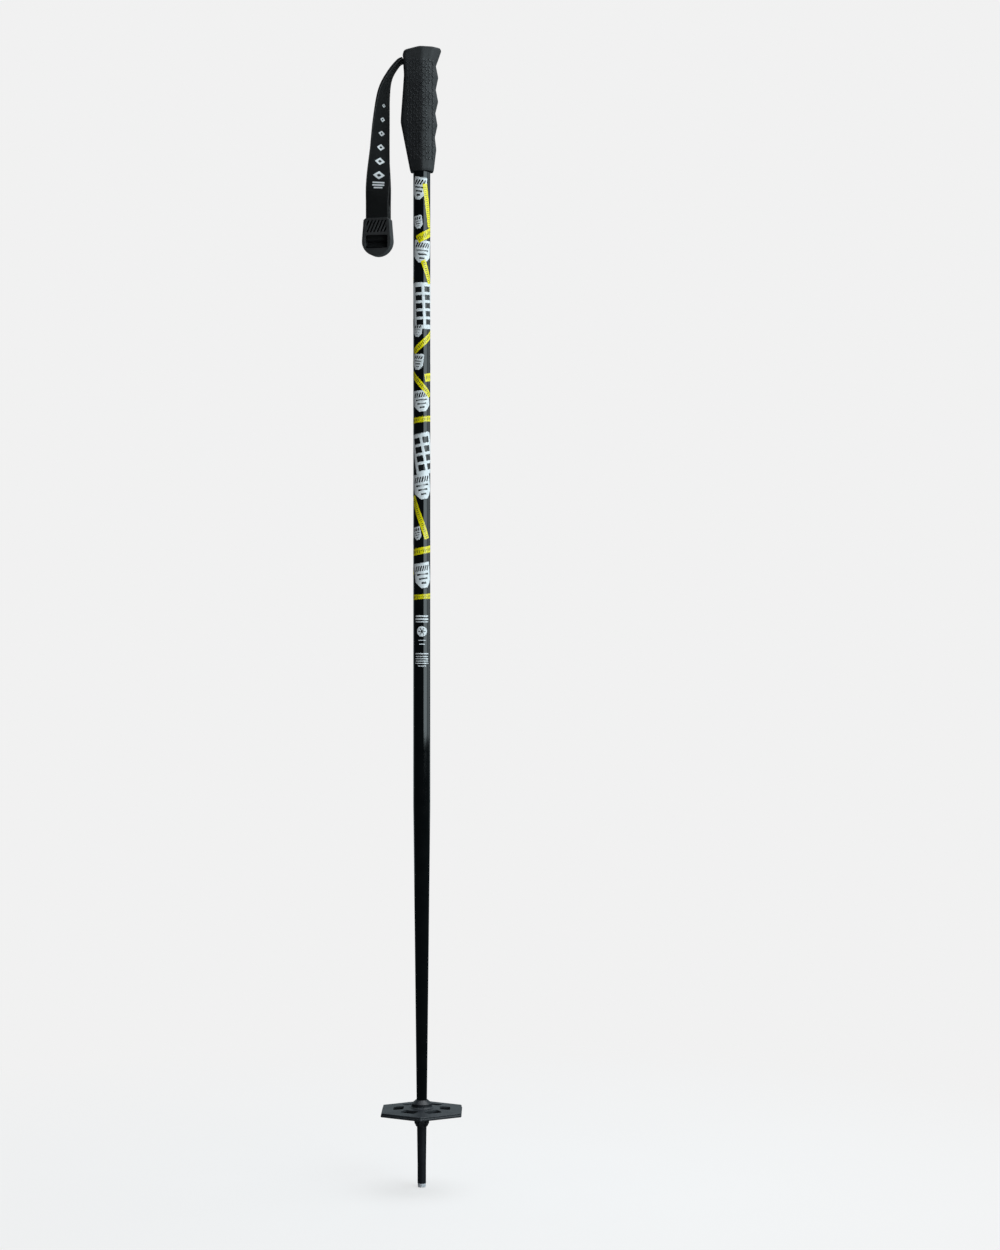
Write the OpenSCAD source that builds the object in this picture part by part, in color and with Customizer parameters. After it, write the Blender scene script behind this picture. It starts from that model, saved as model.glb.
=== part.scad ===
// Fixed-length alpine ski pole: tapered tube, moulded grip, adjustable webbing wrist strap,
// moulded tip body with a steel crown, and a hexagonal snow basket.
// Origin: centre of the crown's lowest point. +Z up the tube, +X to the finger side, strap on -X.

/* [Shaft] */
// Length from the tip to the top of the grip
pole_length = 1200; // [1050:10:1350]
// Outside diameter of the parallel part of the tube
shaft_d = 18; // [17:0.5:19]
// Wall thickness of the tube
shaft_wall = 1.2; // [1:0.1:1.5]
// Height where the taper meets the parallel part
taper_top = 402; // [300:1:500]
// Outside diameter of the tube at its lower end
shaft_end_d = 10.9; // [10.6:0.1:11.4]

/* [Tip] */
// Diameter of the parallel end of the tip body
stem_d = 9; // [8.8:0.1:9.4]
// Length of the parallel end of the tip body
stem_parallel = 20; // [15:1:30]
// Diameter of the seat that carries the basket
seat_d = 10; // [9.8:0.1:10.4]
// Diameter of the collar above the basket
collar_d = 21.6; // [20:0.2:24]
// Diameter of the steel crown
crown_d = 8.4; // [8:0.1:8.8]
// Height of the crown that shows below the tip body
crown_h = 4.4; // [3:0.2:6]

/* [Basket] */
// Distance from the centre to a corner of the hexagon
basket_r = 48.7; // [42:0.1:60]
// Height of the turned-down rim
rim_h = 4.1; // [3:0.1:6]
// Thickness of the plate
plate_t = 2; // [1.6:0.1:2.6]
// Height of the plate's outer lip above the tip
plate_z = 82.3; // [78:0.1:84]
// Rise of the plate from its lip to the hub
plate_rise = 2.3; // [1:0.1:3]

/* [Grip] */
// Half-width of the grip across its side ridges, at the head
head_half = 17.3; // [17:0.1:19]
// Radius of the inner core around the tube
core_r = 10.6; // [10.4:0.1:11]

/* [Strap] */
// Width of the webbing
web_w = 25; // [22:0.5:25]
// Thickness of the webbing
web_t = 1.4; // [1.2:0.1:1.5]
// Drop from the top of the pole to the middle of the buckle
buckle_drop = 198.5; // [190:0.5:215]
// Turn of the buckle about its own upright axis, in degrees
buckle_turn = 15; // [5:1:25]

/* [Hidden] */
$fn = 96;

fit = 0.03;        // gap between glued or moulded-on pieces
run_fit = 0.06;    // radial clearance of the basket on its seat
overcut = 1;       // how far a cutter stands out of the face that it starts from

// Shaft
seat_top = plate_z + 4;               // underside of the collar
tube_bottom = seat_top + 2;           // the tube stands 4 mm deep in the collar
tube_top = pole_length - 28;
grip_bottom = pole_length - 130;
glued_d = shaft_d - 0.4;              // bare, turned-down end that is glued into the grip

// Tip body
crown_shank_r = 3;
crown_shank_h = 14;
collar_h = 2.2;
collar_cone_h = 3.8;
collar_top_d = shaft_end_d + 1.6;
spigot_r = shaft_end_d / 2 - shaft_wall - 0.1;
spigot_h = 32;
hub_bottom = plate_z - 18;
groove_r = seat_d / 2 - 0.4;
groove_z = hub_bottom + 4;
groove_h = 2.4;

// Basket
rim_wall = 1.7;
rim_step = 0.7;                       // the rim stands out by this much below
rim_step_z = 1.8;                     // height of that step above the rim's foot
lip_w = 4;                            // flat lip round the top
edge = 0.5;
window_at = 24.5;                     // distance of each window from the centre
window_w = 11;                        // its width along the radius
window_half = 8.5;                    // half its length
window_r = 2.5;                       // radius of its corners
window_far = norm([window_at + window_w / 2 - window_r, window_half - window_r]) + window_r;
rib_t = 1.2;
hub_ring_d = 26;
hub_top_d = 22.4;
hub_d = 15.6;
finger_d = 11.8;                      // outside diameter of the fingers at their ends
finger_top = hub_bottom + 3.6;
slit_count = 6;
slit_w = 0.9;
slit_h = 7.5;

// Grip, as drops below the top of the pole
back_x = [[0, 18.9], [5, 19.9], [29, 18.5], [78, 22.2], [127, 12.6], [130, 11.6]];
front_x = [[0, 19.2], [2, 20.4], [17.7, 14.8], [29.8, 17.3], [42.5, 14.7], [55.1, 17.2],
           [67.3, 14.3], [80.1, 16.5], [92.6, 13.8], [105.5, 15.3], [127, 12.7], [130, 11.8]];
side_y = [[0, head_half - 0.8], [2, head_half], [24, head_half - 0.6], [40, 15.4], [78, 15.8],
          [127, 12.6], [130, 11.7]];
back_y = [[0, 14.6], [2, 15.4], [25, 15], [42, 11.2], [78, 9.6], [127, 7.2], [130, 6.7]];
front_side_share = 0.62;   // how far forward the front side ridge stands, as a share of front_x
front_side_y = 0.8;        // its half-width, as a share of side_y
nose_y = 5.2;              // half-width of the finger face
ridge_cut = 0.13;          // share of each edge that rounds off the ridges
rear_fall = 0.0163;        // how the top falls away behind the ridge
rear_fall_x = -2;
rear_fall_depth = 20;

// Head of the grip
pin_x = -12.8;
pin_z = pole_length - 11;
pin_r = 1.6;
pin_half = 14.3;
hinge_x = -18.6;                      // the strap swings about the inner edge of the mouth
hinge_z = pole_length - 11.7;
mouth_half = web_w / 2 + 0.4;
mouth_r = web_t + 0.75;
plug_r = 9;
plug_neck_r = 7;
core_head_bottom = pole_length - 22;
core_head_top = pole_length - 5.4;

// Strap route: [x, drop, turn of the webbing in degrees, depth of the back run behind the front one,
// its shift in x]. The turn is 180 at the mouth, where the front run lies under the back one.
route = [[-19.7, 12, 180, 0, 0], [-25, 15, 179, 0, 0], [-34, 28, 173, 0, 0], [-40, 46, 156, 3, 0],
         [-43, 75, 140, 9, 0], [-45, 110, 124, 13, 0.2], [-46.3, 138, 100, 10, 1],
         [-46.8, 162, 75, 6.9, 1.8], [-46.8, 206, 75, 6.9, 1.8]];
mouth_turn = 180;
hang_turn = 75;
front_stand = 0.35;                   // how much further out the front run lies where it hangs
route_steps = 6;
ply_gap = 0.15;                       // half the gap between the two plies where they touch
front_end_drop = buckle_drop - 2.6;   // lower end of the front run
back_end_drop = buckle_drop + 6;      // lower end of the back run

// Buckle, in its own frame: x across, y to the back, z up
buckle_r = 16;
buckle_cy = -4;
buckle_top = 20.2;
buckle_top_half = 14.2;
buckle_corner = [2.6, 1.9];           // width and height of the cut at each top corner
face_y = -4.2;
face_t = 2;
rim_t = 0.95;                         // wall round the lower end of the channel
buckle_depth = 11.2;
channel_half = web_w / 2 + 0.45;
opening_half = 12.2;                  // opening below the tab, over the bars
opening_top = 1.9;
opening_bottom = -11.8;
bar_y = 2.5;
bar_r = 1.2;
fixed_bar_z = -9.4;
ladder_low = -1.9;
ladder_high = 0.9;
turn_r = bar_r + 0.1 + web_t / 2;     // middle of the webbing around a bar
channel_bottom = fixed_bar_z - turn_r - web_t / 2 - 0.5;
tail_y = bar_y + turn_r;
hem_y = tail_y + web_t + 0.35;
tail_top = 32;
tail_hem = 10;
hem_top = 12;
hem_bend_z = ladder_low - 0.8;        // below the ladder bar the hem leans in to the fixed bar
slot_count = 7;
slot_pitch = 3.8;
slot_w = 1.9;
slot_lean = 24.5;
slots_half = 11.2;
slots_bottom = 5;
slots_top = 17.8;

// ---------------------------------------------------------------- helpers

function mix(a, b, f) = a + (b - a) * f;

// Catmull-Rom curve through rows of numbers; its last stretch is straight
function smooth(rows, u) =
    let (last = len(rows) - 1, i = min(floor(u), last - 1), f = u - i,
         a = rows[max(i - 1, 0)], b = rows[i], c = rows[i + 1], d = rows[min(i + 2, last)])
    i == last - 1 ? mix(b, c, f)
    : 0.5 * (2 * b + (c - a) * f + (2 * a - 5 * b + 4 * c - d) * f * f
             + (3 * b - a - 3 * c + d) * f * f * f);

function unit(v) = v / norm(v);

// Four corners of a strip of webbing around the point c, w across and n through it
function strip_ring(c, w, n) =
    [for (k = [[1, 1], [-1, 1], [-1, -1], [1, -1]]) c + w * k[0] * web_w / 2 + n * k[1] * web_t / 2];

// A closed solid through rings that all have the same number of points, each counter-clockwise
// when seen from the last ring
module loft(rings) {
    n = len(rings[0]);
    m = len(rings);
    polyhedron(
        points = [for (r = rings) for (p = r) p],
        faces = concat(
            [[for (i = [0:n - 1]) i]],
            [for (j = [0:m - 2]) for (i = [0:n - 1])
                each [[j * n + i, (j + 1) * n + i, j * n + (i + 1) % n],
                      [j * n + (i + 1) % n, (j + 1) * n + i, (j + 1) * n + (i + 1) % n]]],
            [[for (i = [n - 1:-1:0]) (m - 1) * n + i]]),
        convexity = 6);
}

// Webbing that follows points [y, z], with its width along x
module flat_strip(points) {
    n = len(points);
    loft([for (i = [0:n - 1])
        let (t = unit(points[min(i + 1, n - 1)] - points[max(i - 1, 0)]))
        strip_ring([0, points[i][0], points[i][1]], [1, 0, 0], [0, t[1], -t[0]])]);
}

function arc(cy, cz, r, from, to, step = 15) =
    let (n = ceil(abs(to - from) / step))
    [for (i = [0:n]) let (a = mix(from, to, i / n)) [cy + r * cos(a), cz + r * sin(a)]];

module ring_at(z, h, r, inner = 0) {
    translate([0, 0, z]) difference() {
        cylinder(h = h, r = r);
        if (inner > 0) translate([0, 0, -1]) cylinder(h = h + 2, r = inner);
    }
}

// ---------------------------------------------------------------- shaft and tip

module shaft_tube() {
    inner_top = shaft_d / 2 - shaft_wall;
    color("#101214") difference() {
        union() {
            translate([0, 0, tube_bottom])
                cylinder(h = taper_top - tube_bottom, d1 = shaft_end_d, d2 = shaft_d);
            translate([0, 0, taper_top]) cylinder(h = grip_bottom - taper_top, d = shaft_d);
            translate([0, 0, grip_bottom]) cylinder(h = tube_top - grip_bottom, d = glued_d);
        }
        translate([0, 0, tube_bottom - 1])
            cylinder(h = 1 + taper_top - tube_bottom, r1 = shaft_end_d / 2 - shaft_wall, r2 = inner_top);
        translate([0, 0, taper_top - 0.01]) cylinder(h = tube_top - taper_top + 1, r = inner_top);
    }
}

// Stem, basket seat and collar in one moulding, with a spigot that is glued into the tube
module tip_body() {
    taper_bottom = crown_h + stem_parallel;
    seat_bottom = hub_bottom - 2;
    socket_depth = 20;
    color("#17191c") difference() {
        union() {
            translate([0, 0, crown_h]) cylinder(h = stem_parallel, d = stem_d);
            translate([0, 0, taper_bottom])
                cylinder(h = seat_bottom - taper_bottom, d1 = stem_d, d2 = seat_d);
            translate([0, 0, seat_bottom]) cylinder(h = seat_top - seat_bottom, d = seat_d);
            translate([0, 0, seat_top]) cylinder(h = collar_h, d = collar_d);
            translate([0, 0, seat_top + collar_h])
                cylinder(h = collar_cone_h, d1 = collar_d, d2 = collar_top_d);
            translate([0, 0, tube_bottom - edge]) cylinder(h = spigot_h, r = spigot_r);
        }
        // groove that the fingers of the hub snap into
        ring_at(groove_z, groove_h, seat_d, groove_r);
        // annular socket for the end of the tube
        ring_at(tube_bottom, socket_depth, shaft_end_d / 2 + 0.08, spigot_r);
        // blind hole for the crown's shank
        translate([0, 0, crown_h - overcut])
            cylinder(h = crown_shank_h + overcut + 0.2, r = crown_shank_r + fit);
    }
}

// Hardened steel crown: a toothed cup on a shank
module tip_crown() {
    teeth = 8;
    notch = 1.5;
    chamfer = [1, 1.2];
    cup_depth = 2.6;
    cup_floor_d = 2.4;
    color("#c9ced4") difference() {
        union() {
            cylinder(h = chamfer[1], d1 = crown_d - chamfer[0], d2 = crown_d);
            translate([0, 0, chamfer[1]]) cylinder(h = crown_h - chamfer[1], d = crown_d);
            translate([0, 0, crown_h - edge]) cylinder(h = crown_shank_h + 0.3, r = crown_shank_r);
        }
        translate([0, 0, -0.01]) cylinder(h = cup_depth, d1 = crown_d - 2, d2 = cup_floor_d);
        for (i = [0:teeth / 2 - 1])
            rotate([0, 0, i * 360 / teeth])
                rotate([45, 0, 0]) cube([crown_d + 2, notch, notch], center = true);
    }
}

// ---------------------------------------------------------------- basket

function hex_ring(r, z) = [for (i = [0:5]) [r * cos(30 + 60 * i), r * sin(30 + 60 * i), z]];

// Plate that rises to the hub, inside a turned-down rim; the rim steps out below
module basket_plate() {
    foot = plate_z - rim_h;
    inner_r = basket_r - rim_wall / cos(30);
    lip_r = basket_r - lip_w;
    hub_r = hub_d / 2;
    top = [[basket_r - edge, foot], [basket_r, foot + edge], [basket_r, foot + rim_step_z],
           [basket_r - rim_step, foot + rim_step_z + 0.4], [basket_r - rim_step, plate_z - edge],
           [basket_r - rim_step - edge, plate_z], [lip_r, plate_z], [hub_r, plate_z + plate_rise]];
    hollow = [[inner_r, foot - overcut], [inner_r, plate_z - plate_t], [lip_r, plate_z - plate_t],
              [hub_r, plate_z + plate_rise - plate_t]];
    difference() {
        loft([for (p = top) hex_ring(p[0], p[1])]);
        loft([for (p = hollow) hex_ring(p[0], p[1])]);
    }
}

// A window beside each edge
module basket_windows() {
    cut_h = 12;
    for (i = [0:5]) rotate([0, 0, 60 * i]) translate([window_at, 0, plate_z - cut_h / 2])
        linear_extrude(cut_h) {
            square([window_w, 2 * (window_half - window_r)], center = true);
            square([window_w - 2 * window_r, 2 * window_half], center = true);
            for (x = [-1, 1]) for (y = [-1, 1])
                translate([x * (window_w / 2 - window_r), y * (window_half - window_r)])
                    circle(r = window_r);
        }
}

// Height of the plate's underside towards a corner, at a distance from the centre
function underside(r) =
    plate_z - plate_t + plate_rise * (basket_r - lip_w - r) / (basket_r - lip_w - hub_d / 2);

// Ribs under the plate: a ring on each side of the windows, and one rib towards each corner
module basket_ribs() {
    foot = plate_z - rim_h + 0.3;
    sunk = 0.4;                       // how deep the ribs stand in the plate
    rib_from = hub_d / 2 - 2;
    rib_to = basket_r - rim_wall;
    lip_r = basket_r - lip_w;
    for (r = [window_at - window_w / 2 - rib_t - 0.2, window_far + 0.2])
        ring_at(foot, underside(r) + sunk - foot, r + rib_t, r);
    for (i = [0:5]) rotate([90, 0, 30 + 60 * i]) linear_extrude(rib_t, center = true)
        polygon([[rib_from, foot], [rib_to, foot], [rib_to, underside(lip_r) + sunk],
                 [lip_r, underside(lip_r) + sunk], [rib_from, underside(rib_from) + sunk]]);
}

// Ring above the plate, and a sleeve below it that ends in snap fingers
module basket_hub() {
    ring_z = plate_z + plate_rise - 0.3;
    ring_cone_h = 1;
    hub_top = plate_z - plate_t + 1;
    translate([0, 0, ring_z]) cylinder(h = ring_cone_h, d1 = hub_ring_d, d2 = hub_top_d);
    translate([0, 0, ring_z + ring_cone_h])
        cylinder(h = seat_top - 0.1 - ring_z - ring_cone_h, d = hub_top_d);
    translate([0, 0, finger_top]) cylinder(h = hub_top - finger_top, d = hub_d);
    translate([0, 0, hub_bottom]) cylinder(h = finger_top - hub_bottom, d1 = finger_d, d2 = hub_d);
}

module basket() {
    color("#1b1e22") difference() {
        union() {
            difference() {
                basket_plate();
                basket_windows();
            }
            basket_ribs();
            basket_hub();
        }
        difference() {
            translate([0, 0, hub_bottom - overcut])
                cylinder(h = seat_top - hub_bottom + 2 * overcut, r = seat_d / 2 + run_fit);
            // bead inside the fingers
            ring_at(groove_z + 0.3, groove_h - 0.6, seat_d, groove_r + run_fit);
        }
        for (i = [0:slit_count / 2 - 1]) rotate([0, 0, i * 360 / slit_count])
            translate([-hub_d, -slit_w / 2, hub_bottom - overcut])
                cube([2 * hub_d, slit_w, slit_h + overcut]);
    }
}

// ---------------------------------------------------------------- grip

// Corners of the section at a drop below the top, before the ridges are rounded
function grip_corners(h) =
    let (b = -lookup(h, back_x), f = lookup(h, front_x), s = lookup(h, side_y), k = lookup(h, back_y))
    [[f, nose_y], [f * front_side_share, s * front_side_y], [0.5, s], [b, k],
     [b, -k], [0.5, -s], [f * front_side_share, -s * front_side_y], [f, -nose_y]];

// Each corner becomes three points
function rounded(c, cut) =
    let (n = len(c))
    [for (i = [0:n - 1])
        let (p = c[i], before = c[(i + n - 1) % n], after = c[(i + 1) % n],
             a = mix(p, before, cut), b = mix(p, after, cut))
        each [a, (a + b) / 4 + p / 2, b]];

function rear_drop(x) = x < rear_fall_x ? rear_fall * pow(rear_fall_x - x, 2) : 0;

function grip_ring(h) =
    [for (p = rounded(grip_corners(h), ridge_cut))
        [p[0], p[1], pole_length - h - rear_drop(p[0]) * max(0, 1 - h / rear_fall_depth)]];

grip_rings = [130, 129.2, 127, 116, 107, 105.5, 104.2, 99, 93.9, 92.6, 91.3, 87, 81.4, 80.1, 78.8, 74,
              68.6, 67.3, 66, 61, 56.4, 55.1, 53.8, 49, 43.8, 42.5, 41.2, 36, 31, 29.8, 28.5, 24, 19,
              17.7, 16.5, 11, 5, 2, 0.6, 0];

// The top face, in rings that shrink towards the axis
function crown_ring(f) =
    [for (p = rounded(grip_corners(0), ridge_cut)) [p[0] * f, p[1] * f, pole_length - rear_drop(p[0] * f)]];

module grip_blank() {
    loft(concat([for (h = grip_rings) grip_ring(h)], [for (f = [0.8, 0.6, 0.4, 0.1]) crown_ring(f)]));
}

// Exit for the strap: a passage to the pin that opens into a flared mouth
module strap_passage(grow) {
    half = mouth_half + grow;
    translate([0, half, 0]) rotate([90, 0, 0]) linear_extrude(2 * half) {
        translate([pin_x, pin_z]) circle(r = pin_r + web_t + 0.45);
        translate([hinge_x, hinge_z]) circle(r = mouth_r);
        polygon([[hinge_x, hinge_z - mouth_r], [pin_x, pin_z - pin_r - web_t - 0.4],
                 [pin_x, pin_z + pin_r + web_t + 0.4], [hinge_x, hinge_z + mouth_r]]);
        polygon([[hinge_x - 1.2, hinge_z + mouth_r], [hinge_x + 0.2, hinge_z + mouth_r],
                 [hinge_x + 1.3, hinge_z + 1.6], [hinge_x + 1.3, hinge_z - 1.6],
                 [hinge_x - 1.4, hinge_z - mouth_r - 0.2], [hinge_x - 6, hinge_z - 6.5],
                 [hinge_x - 6, hinge_z + 6.6]]);
    }
}

// Outline of the core's head, seen from above
module core_head(grow) {
    translate([0, 0, core_head_bottom - grow])
        linear_extrude(core_head_top - core_head_bottom + 2 * grow)
            polygon([for (p = [[-17.2, -13.8], [-13.6, -14.6], [0.5, -15.4], [8.4, -11.4],
                               [11.4, -4.4], [11.4, 4.4], [8.4, 11.4], [0.5, 15.4],
                               [-13.6, 14.6], [-17.2, 13.8]])
                        p + grow * [sign(p[0]), sign(p[1])]]);
}

module core_shape(grow) {
    translate([0, 0, grip_bottom + 2 - grow])
        cylinder(h = core_head_bottom - grip_bottom, r = core_r + grow);
    core_head(grow);
}

module grip_core() {
    color("#202226") difference() {
        core_shape(0);
        translate([0, 0, grip_bottom]) cylinder(h = tube_top - grip_bottom + 0.4, r = glued_d / 2 + fit);
        translate([0, 0, pole_length - 14]) cylinder(h = 20, r = plug_neck_r + fit);
        strap_passage(0);
        translate([pin_x, 0, pin_z]) rotate([90, 0, 0])
            cylinder(h = 2 * pin_half + 0.4, r = pin_r + 0.02, center = true);
    }
}

module grip_sleeve() {
    color("#1d1e20") difference() {
        grip_blank();
        core_shape(fit);
        translate([0, 0, grip_bottom - 1]) cylinder(h = 10, r = shaft_d / 2 + fit);
        translate([0, 0, pole_length - 6]) cylinder(h = 20, r = plug_r + 0.1);
        strap_passage(0);
    }
}

module top_plug() {
    bevel = 0.6;
    top = pole_length - 0.3;
    bottom = core_head_top + 0.05;
    neck_h = 9;
    color("#26282b") union() {
        translate([0, 0, bottom]) cylinder(h = top - bevel - bottom, r = plug_r);
        translate([0, 0, top - bevel]) cylinder(h = bevel, r1 = plug_r, r2 = plug_r - bevel);
        translate([0, 0, pole_length - 13.6]) cylinder(h = neck_h, r = plug_neck_r);
    }
}

// ---------------------------------------------------------------- strap

module strap_pin() {
    color("#b9bdc2") translate([pin_x, 0, pin_z]) rotate([90, 0, 0])
        cylinder(h = 2 * pin_half, r = pin_r, center = true);
}

// The fold of the webbing around the pin, inside the grip
module strap_anchor_fold() {
    r = pin_r + 0.1 + web_t / 2;
    exit = pin_x - hinge_x - mouth_r - 0.15;
    ply = web_t / 2 + ply_gap;
    color("#141414") translate([pin_x, 0, pin_z]) rotate([0, 0, 90])
        flat_strip(concat([[exit, ply]], [[exit * 0.55, r * 0.76]],
                          [for (p = arc(0, 0, r, 95, -95)) [-p[0], p[1]]],
                          [[exit * 0.55, -r * 0.76]], [[exit, -ply]]));
}

// Frames along the strap: [point, width direction, normal]
function strap_frame(u, side) =
    let (r = smooth(route, u), q = smooth(route, min(u + 0.02, len(route) - 1)),
         p = smooth(route, max(u - 0.02, 0)),
         t = unit([q[0] - p[0], 0, p[1] - q[1]]), b = [0, -1, 0], m = cross(t, b),
         w = cos(r[2]) * b - sin(r[2]) * m, n = cos(r[2]) * m + sin(r[2]) * b,
         hung = (mouth_turn - r[2]) / (mouth_turn - hang_turn),
         off = side > 0 ? n * (web_t / 2 + ply_gap + front_stand * hung)
                        : [r[4], r[3], 0] - n * (web_t / 2 + ply_gap))
    [[r[0], 0, pole_length - r[1]] + off, w, n];

// Position along the route where the drop reaches a value on its last, straight stretch
function route_end(drop) =
    let (last = len(route) - 1, a = route[last - 1][1], b = route[last][1])
    last - 1 + (drop - a) / (b - a);

module strap_run(side, end) {
    n = route_steps * (len(route) - 2);
    loft([for (u = concat([for (i = [0:n]) i / route_steps], [route_end(end)]))
        let (f = strap_frame(u, side)) strip_ring(f[0], f[1], f[2])]);
}

module strap_front_run() {
    color("#141414") strap_run(1, front_end_drop);
}

module strap_back_run() {
    color("#141414") strap_run(-1, back_end_drop);
}

module in_buckle_frame() {
    translate([route[len(route) - 1][0], 0, pole_length - buckle_drop]) rotate([0, 0, -buckle_turn])
        children();
}

// The adjusting end: over the ladder bar, up behind it, and hemmed at its end
module strap_tail() {
    fold_r = web_t / 2 + 0.1;
    color("#141414") in_buckle_frame()
        flat_strip(concat(
            [for (p = arc(bar_y, ladder_high, turn_r, 120, 180)) p],
            [for (p = arc(bar_y, ladder_low, turn_r, 180, 360)) p],
            [[tail_y, tail_top / 2]],
            [for (p = arc(tail_y - fold_r, tail_top, fold_r, 0, 180, 30)) p],
            [[tail_y - 2 * fold_r, tail_top - tail_hem]]));
}

// The fixed end: up behind the ladder bar after turning round the fixed bar
module strap_end_loop() {
    lean = 40;
    color("#141414") in_buckle_frame()
        flat_strip(concat(
            [[hem_y, hem_top], [hem_y, hem_bend_z], [hem_y - 0.5, hem_bend_z - 1.2]],
            [for (p = arc(bar_y, fixed_bar_z, turn_r, 90 + lean, 270 + lean)) p],
            [[hem_y - 0.15, fixed_bar_z + 0.4]]));
}

// Two rows of thread through the tail's hem
module tail_stitches() {
    stitch = [1.9, 0.35, 0.35];
    pitch = 2.1;
    rows = [3, 7];                    // drops of the rows below the fold
    color("#2b2b2b") in_buckle_frame()
        for (row = rows) for (i = [-5:5])
            translate([i * pitch - stitch[0] / 2, tail_y + web_t / 2 + 0.02, tail_top - row])
                cube(stitch);
}

// ---------------------------------------------------------------- buckle

module buckle_outline() {
    shoulder = buckle_top - buckle_corner[1];
    tab = buckle_top_half - buckle_corner[0];
    translate([0, buckle_cy]) circle(r = buckle_r);
    polygon([[-buckle_r, buckle_cy], [-buckle_top_half, shoulder], [-tab, buckle_top],
             [tab, buckle_top], [buckle_top_half, shoulder], [buckle_r, buckle_cy]]);
}

// Slanting finger slots in the tab
module tab_slots() {
    height = slots_top - slots_bottom;
    intersection() {
        translate([-slots_half, slots_bottom]) square([2 * slots_half, height]);
        for (i = [0:slot_count - 1])
            translate([(i - (slot_count - 1) / 2) * slot_pitch, slots_bottom + height / 2])
                rotate([0, 0, -slot_lean]) square([slot_w, 2 * height], center = true);
    }
}

// Channel for the webbing; its lower end follows the frame's curve
module channel_outline() {
    translate([-channel_half, buckle_cy]) square([2 * channel_half, 4 * buckle_r]);
    intersection() {
        translate([-channel_half, channel_bottom]) square([2 * channel_half, buckle_r]);
        translate([0, buckle_cy]) circle(r = buckle_r - rim_t);
    }
}

// A shape drawn on the buckle's face, made this thick from y backwards
module from_face(y, thick) {
    translate([0, y + thick, 0]) rotate([90, 0, 0]) linear_extrude(thick) children();
}

module buckle_bars() {
    length = 2 * channel_half + 1;
    for (z = [fixed_bar_z, ladder_low, ladder_high]) translate([0, bar_y, z]) rotate([0, 90, 0])
        cylinder(h = length, r = bar_r, center = true, $fn = 48);
    translate([-length / 2, bar_y - bar_r, ladder_low]) cube([length, 2 * bar_r, ladder_high - ladder_low]);
}

module buckle_frame() {
    color("#232527") in_buckle_frame() {
        difference() {
            from_face(face_y, buckle_depth) buckle_outline();
            // open at the top and at the back
            from_face(face_y + face_t, buckle_depth) channel_outline();
            from_face(face_y - overcut, face_t + 2 * overcut) {
                translate([-opening_half, opening_bottom])
                    square([2 * opening_half, opening_top - opening_bottom]);
                tab_slots();
            }
        }
        buckle_bars();
    }
}

shaft_tube();
tip_body();
tip_crown();
basket();
grip_core();
grip_sleeve();
top_plug();
strap_pin();
strap_anchor_fold();
strap_front_run();
strap_back_run();
strap_tail();
strap_end_loop();
tail_stitches();
buckle_frame();
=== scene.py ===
"""Looks for a ski pole: printed lacquer, a moulded grip, a woven wrist strap and a soft studio."""

import math

import bpy
import numpy as np
from mathutils import Matrix, Vector
from mathutils.bvhtree import BVHTree


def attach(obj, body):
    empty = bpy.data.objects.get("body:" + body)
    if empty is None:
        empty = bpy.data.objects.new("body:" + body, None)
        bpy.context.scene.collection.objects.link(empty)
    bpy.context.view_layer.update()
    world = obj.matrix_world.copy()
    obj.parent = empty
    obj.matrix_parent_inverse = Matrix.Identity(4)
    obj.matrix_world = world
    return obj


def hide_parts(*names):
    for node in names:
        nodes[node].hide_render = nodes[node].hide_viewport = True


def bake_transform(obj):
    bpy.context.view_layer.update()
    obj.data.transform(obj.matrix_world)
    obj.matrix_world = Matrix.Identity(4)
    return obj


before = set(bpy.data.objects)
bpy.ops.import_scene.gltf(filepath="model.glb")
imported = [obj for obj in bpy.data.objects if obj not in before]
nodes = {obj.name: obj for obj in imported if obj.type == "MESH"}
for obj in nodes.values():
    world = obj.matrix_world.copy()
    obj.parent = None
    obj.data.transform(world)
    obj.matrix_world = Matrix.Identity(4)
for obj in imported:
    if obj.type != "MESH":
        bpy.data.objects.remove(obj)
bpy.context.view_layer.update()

# Lengths in this script are in millimetres, as in the CAD source, and become metres when a mesh is made.
MM = 0.001
POLE_LENGTH = 1200.0


def clamp(value, low, high):
    return max(low, min(high, value))


def mix(a, b, share):
    return a + (b - a) * share


# ---------------------------------------------------------------- camera


CAMERA_PLACE = (0.0825, -2.65, 0.5927)  # metres; level, a little below the middle of the pole
CAMERA_LENS = 72.37
SENSOR_HEIGHT = 36


def add_camera():
    data = bpy.data.cameras.new("camera")
    data.sensor_fit = "VERTICAL"
    data.sensor_height = SENSOR_HEIGHT
    data.lens = CAMERA_LENS
    data.clip_start = 0.05
    camera = bpy.data.objects.new("camera", data)
    camera.location = CAMERA_PLACE
    camera.rotation_euler = (math.radians(90), 0, 0)
    bpy.context.scene.collection.objects.link(camera)
    bpy.context.scene.camera = camera


# ---------------------------------------------------------------- materials


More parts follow.
